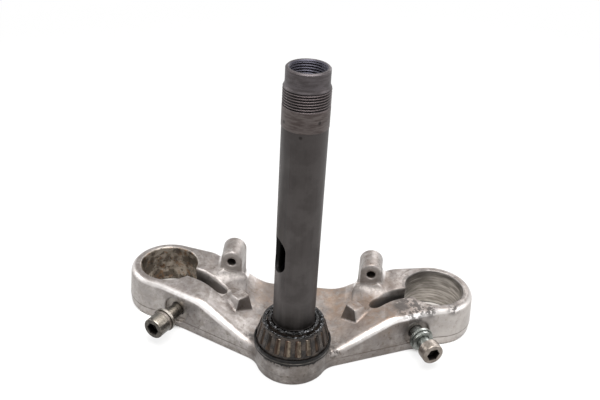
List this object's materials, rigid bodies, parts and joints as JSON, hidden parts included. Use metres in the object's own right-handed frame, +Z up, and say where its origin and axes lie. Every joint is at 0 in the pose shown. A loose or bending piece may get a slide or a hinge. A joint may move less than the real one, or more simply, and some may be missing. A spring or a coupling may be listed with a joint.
{
  "type": "motorcycle triple clamp",
  "caption": "Lower triple clamp of a motorcycle: cast aluminium yoke with slotted fork clamps, steel steering stem, tapered roller bearing, dust seal and loosened pinch bolts.",
  "frame": {"origin": "on the steering axis, in the plane of the yoke's flat underside", "axes": "+Z up the steering stem, +Y from the stem towards the forks, +X to the right in the picture"},
  "size_m": [0.2684, 0.1225, 0.2266],
  "materials": {
    "cast_aluminium": "sand-cast, weathered and stained",
    "stem_steel": "dark, dull, greasy",
    "bearing_steel": "ground, greasy",
    "roller_steel": "polished, browned by old grease",
    "cage_steel": "pressed sheet, blackened by grease",
    "seal_rubber": "greasy",
    "bolt_steel": "dull zinc, worn",
    "washer_steel": "dull zinc, worn"
  },
  "bodies": {
    "yoke": {"bottom_yoke": "cast_aluminium", "steering_stem": "stem_steel", "bearing_inner_race": "bearing_steel", "dust_seal": "seal_rubber"},
    "roller_cage": {"roller_cage": "cage_steel"},
    "tapered_roller_01": {"tapered_roller_01": "roller_steel"},
    "tapered_roller_02": {"tapered_roller_02": "roller_steel"},
    "tapered_roller_03": {"tapered_roller_03": "roller_steel"},
    "tapered_roller_04": {"tapered_roller_04": "roller_steel"},
    "tapered_roller_05": {"tapered_roller_05": "roller_steel"},
    "tapered_roller_06": {"tapered_roller_06": "roller_steel"},
    "tapered_roller_07": {"tapered_roller_07": "roller_steel"},
    "tapered_roller_08": {"tapered_roller_08": "roller_steel"},
    "tapered_roller_09": {"tapered_roller_09": "roller_steel"},
    "tapered_roller_10": {"tapered_roller_10": "roller_steel"},
    "tapered_roller_11": {"tapered_roller_11": "roller_steel"},
    "tapered_roller_12": {"tapered_roller_12": "roller_steel"},
    "tapered_roller_13": {"tapered_roller_13": "roller_steel"},
    "tapered_roller_14": {"tapered_roller_14": "roller_steel"},
    "tapered_roller_15": {"tapered_roller_15": "roller_steel"},
    "tapered_roller_16": {"tapered_roller_16": "roller_steel"},
    "tapered_roller_17": {"tapered_roller_17": "roller_steel"},
    "tapered_roller_18": {"tapered_roller_18": "roller_steel"},
    "tapered_roller_19": {"tapered_roller_19": "roller_steel"},
    "tapered_roller_20": {"tapered_roller_20": "roller_steel"},
    "left_washers": {"left_spring_washer": "washer_steel", "left_flat_washer": "washer_steel"},
    "left_pinch_bolt": {"left_pinch_bolt": "bolt_steel"},
    "right_flat_washer": {"right_flat_washer": "washer_steel"},
    "right_spring_washer": {"right_spring_washer": "washer_steel"},
    "right_pinch_bolt": {"right_pinch_bolt": "bolt_steel"}
  },
  "joints": [
    {"name": "cage_spin", "type": "hinge", "parent": "yoke", "child": "roller_cage", "pos_m": [0, 0, 0.0304], "axis": [0, 0, 1], "continuous": true},
    {"name": "tapered_roller_01_spin", "type": "hinge", "parent": "roller_cage", "child": "tapered_roller_01", "pos_m": [0.02106, 0.00525, 0.0304], "axis": [-0.2364, -0.0589, 0.9699], "continuous": true},
    {"name": "tapered_roller_02_spin", "type": "hinge", "parent": "roller_cage", "child": "tapered_roller_02", "pos_m": [0.0184, 0.0115, 0.0304], "axis": [-0.2066, -0.1291, 0.9699], "continuous": true},
    {"name": "tapered_roller_03_spin", "type": "hinge", "parent": "roller_cage", "child": "tapered_roller_03", "pos_m": [0.01395, 0.01662, 0.0304], "axis": [-0.1566, -0.1866, 0.9699], "continuous": true},
    {"name": "tapered_roller_04_spin", "type": "hinge", "parent": "roller_cage", "child": "tapered_roller_04", "pos_m": [0.00813, 0.02012, 0.0304], "axis": [-0.0913, -0.2259, 0.9699], "continuous": true},
    {"name": "tapered_roller_05_spin", "type": "hinge", "parent": "roller_cage", "child": "tapered_roller_05", "pos_m": [0.00151, 0.02165, 0.0304], "axis": [-0.017, -0.243, 0.9699], "continuous": true},
    {"name": "tapered_roller_06_spin", "type": "hinge", "parent": "roller_cage", "child": "tapered_roller_06", "pos_m": [-0.00525, 0.02106, 0.0304], "axis": [0.0589, -0.2364, 0.9699], "continuous": true},
    {"name": "tapered_roller_07_spin", "type": "hinge", "parent": "roller_cage", "child": "tapered_roller_07", "pos_m": [-0.0115, 0.0184, 0.0304], "axis": [0.1291, -0.2066, 0.9699], "continuous": true},
    {"name": "tapered_roller_08_spin", "type": "hinge", "parent": "roller_cage", "child": "tapered_roller_08", "pos_m": [-0.01662, 0.01395, 0.0304], "axis": [0.1866, -0.1566, 0.9699], "continuous": true},
    {"name": "tapered_roller_09_spin", "type": "hinge", "parent": "roller_cage", "child": "tapered_roller_09", "pos_m": [-0.02012, 0.00813, 0.0304], "axis": [0.2259, -0.0913, 0.9699], "continuous": true},
    {"name": "tapered_roller_10_spin", "type": "hinge", "parent": "roller_cage", "child": "tapered_roller_10", "pos_m": [-0.02165, 0.00151, 0.0304], "axis": [0.243, -0.017, 0.9699], "continuous": true},
    {"name": "tapered_roller_11_spin", "type": "hinge", "parent": "roller_cage", "child": "tapered_roller_11", "pos_m": [-0.02106, -0.00525, 0.0304], "axis": [0.2364, 0.0589, 0.9699], "continuous": true},
    {"name": "tapered_roller_12_spin", "type": "hinge", "parent": "roller_cage", "child": "tapered_roller_12", "pos_m": [-0.0184, -0.0115, 0.0304], "axis": [0.2066, 0.1291, 0.9699], "continuous": true},
    {"name": "tapered_roller_13_spin", "type": "hinge", "parent": "roller_cage", "child": "tapered_roller_13", "pos_m": [-0.01395, -0.01662, 0.0304], "axis": [0.1566, 0.1866, 0.9699], "continuous": true},
    {"name": "tapered_roller_14_spin", "type": "hinge", "parent": "roller_cage", "child": "tapered_roller_14", "pos_m": [-0.00813, -0.02012, 0.0304], "axis": [0.0913, 0.2259, 0.9699], "continuous": true},
    {"name": "tapered_roller_15_spin", "type": "hinge", "parent": "roller_cage", "child": "tapered_roller_15", "pos_m": [-0.00151, -0.02165, 0.0304], "axis": [0.017, 0.243, 0.9699], "continuous": true},
    {"name": "tapered_roller_16_spin", "type": "hinge", "parent": "roller_cage", "child": "tapered_roller_16", "pos_m": [0.00525, -0.02106, 0.0304], "axis": [-0.0589, 0.2364, 0.9699], "continuous": true},
    {"name": "tapered_roller_17_spin", "type": "hinge", "parent": "roller_cage", "child": "tapered_roller_17", "pos_m": [0.0115, -0.0184, 0.0304], "axis": [-0.1291, 0.2066, 0.9699], "continuous": true},
    {"name": "tapered_roller_18_spin", "type": "hinge", "parent": "roller_cage", "child": "tapered_roller_18", "pos_m": [0.01662, -0.01395, 0.0304], "axis": [-0.1866, 0.1566, 0.9699], "continuous": true},
    {"name": "tapered_roller_19_spin", "type": "hinge", "parent": "roller_cage", "child": "tapered_roller_19", "pos_m": [0.02012, -0.00813, 0.0304], "axis": [-0.2259, 0.0913, 0.9699], "continuous": true},
    {"name": "tapered_roller_20_spin", "type": "hinge", "parent": "roller_cage", "child": "tapered_roller_20", "pos_m": [0.02165, -0.00151, 0.0304], "axis": [-0.243, 0.017, 0.9699], "continuous": true},
    {"name": "left_bolt_travel", "type": "slide", "parent": "yoke", "child": "left_washers", "axis": [0.4321, 0.9018, 0], "range_m": [-0.0024, 0.01485]},
    {"name": "left_bolt_turn", "type": "hinge", "parent": "left_washers", "child": "left_pinch_bolt", "pos_m": [-0.09586, 0.01529, 0.015], "axis": [0.4321, 0.9018, 0], "range_deg": [-586, 3574]},
    {"name": "right_washer_travel", "type": "slide", "parent": "yoke", "child": "right_flat_washer", "axis": [-0.4321, 0.9018, 0], "range_m": [-0.001, 0.00805]},
    {"name": "right_bolt_turn", "type": "hinge", "parent": "right_flat_washer", "child": "right_spring_washer", "pos_m": [0.09292, 0.02143, 0.015], "axis": [-0.4321, 0.9018, 0], "range_deg": [-466, 3694]},
    {"name": "right_bolt_travel", "type": "slide", "parent": "right_spring_washer", "child": "right_pinch_bolt", "axis": [-0.4321, 0.9018, 0], "range_m": [-0.00093, 0.00733]}
  ],
  "couplings": [
    {"joint": "tapered_roller_01_spin", "follows": "cage_spin", "ratio": 6.5129},
    {"joint": "tapered_roller_02_spin", "follows": "cage_spin", "ratio": 6.5129},
    {"joint": "tapered_roller_03_spin", "follows": "cage_spin", "ratio": 6.5129},
    {"joint": "tapered_roller_04_spin", "follows": "cage_spin", "ratio": 6.5129},
    {"joint": "tapered_roller_05_spin", "follows": "cage_spin", "ratio": 6.5129},
    {"joint": "tapered_roller_06_spin", "follows": "cage_spin", "ratio": 6.5129},
    {"joint": "tapered_roller_07_spin", "follows": "cage_spin", "ratio": 6.5129},
    {"joint": "tapered_roller_08_spin", "follows": "cage_spin", "ratio": 6.5129},
    {"joint": "tapered_roller_09_spin", "follows": "cage_spin", "ratio": 6.5129},
    {"joint": "tapered_roller_10_spin", "follows": "cage_spin", "ratio": 6.5129},
    {"joint": "tapered_roller_11_spin", "follows": "cage_spin", "ratio": 6.5129},
    {"joint": "tapered_roller_12_spin", "follows": "cage_spin", "ratio": 6.5129},
    {"joint": "tapered_roller_13_spin", "follows": "cage_spin", "ratio": 6.5129},
    {"joint": "tapered_roller_14_spin", "follows": "cage_spin", "ratio": 6.5129},
    {"joint": "tapered_roller_15_spin", "follows": "cage_spin", "ratio": 6.5129},
    {"joint": "tapered_roller_16_spin", "follows": "cage_spin", "ratio": 6.5129},
    {"joint": "tapered_roller_17_spin", "follows": "cage_spin", "ratio": 6.5129},
    {"joint": "tapered_roller_18_spin", "follows": "cage_spin", "ratio": 6.5129},
    {"joint": "tapered_roller_19_spin", "follows": "cage_spin", "ratio": 6.5129},
    {"joint": "tapered_roller_20_spin", "follows": "cage_spin", "ratio": 6.5129},
    {"joint": "left_bolt_turn", "follows": "left_bolt_travel", "rad_per_m": 4188.8},
    {"joint": "right_bolt_turn", "follows": "right_washer_travel", "rad_per_m": 7987.3},
    {"joint": "right_bolt_travel", "follows": "right_washer_travel", "ratio": 0.90683}
  ]
}
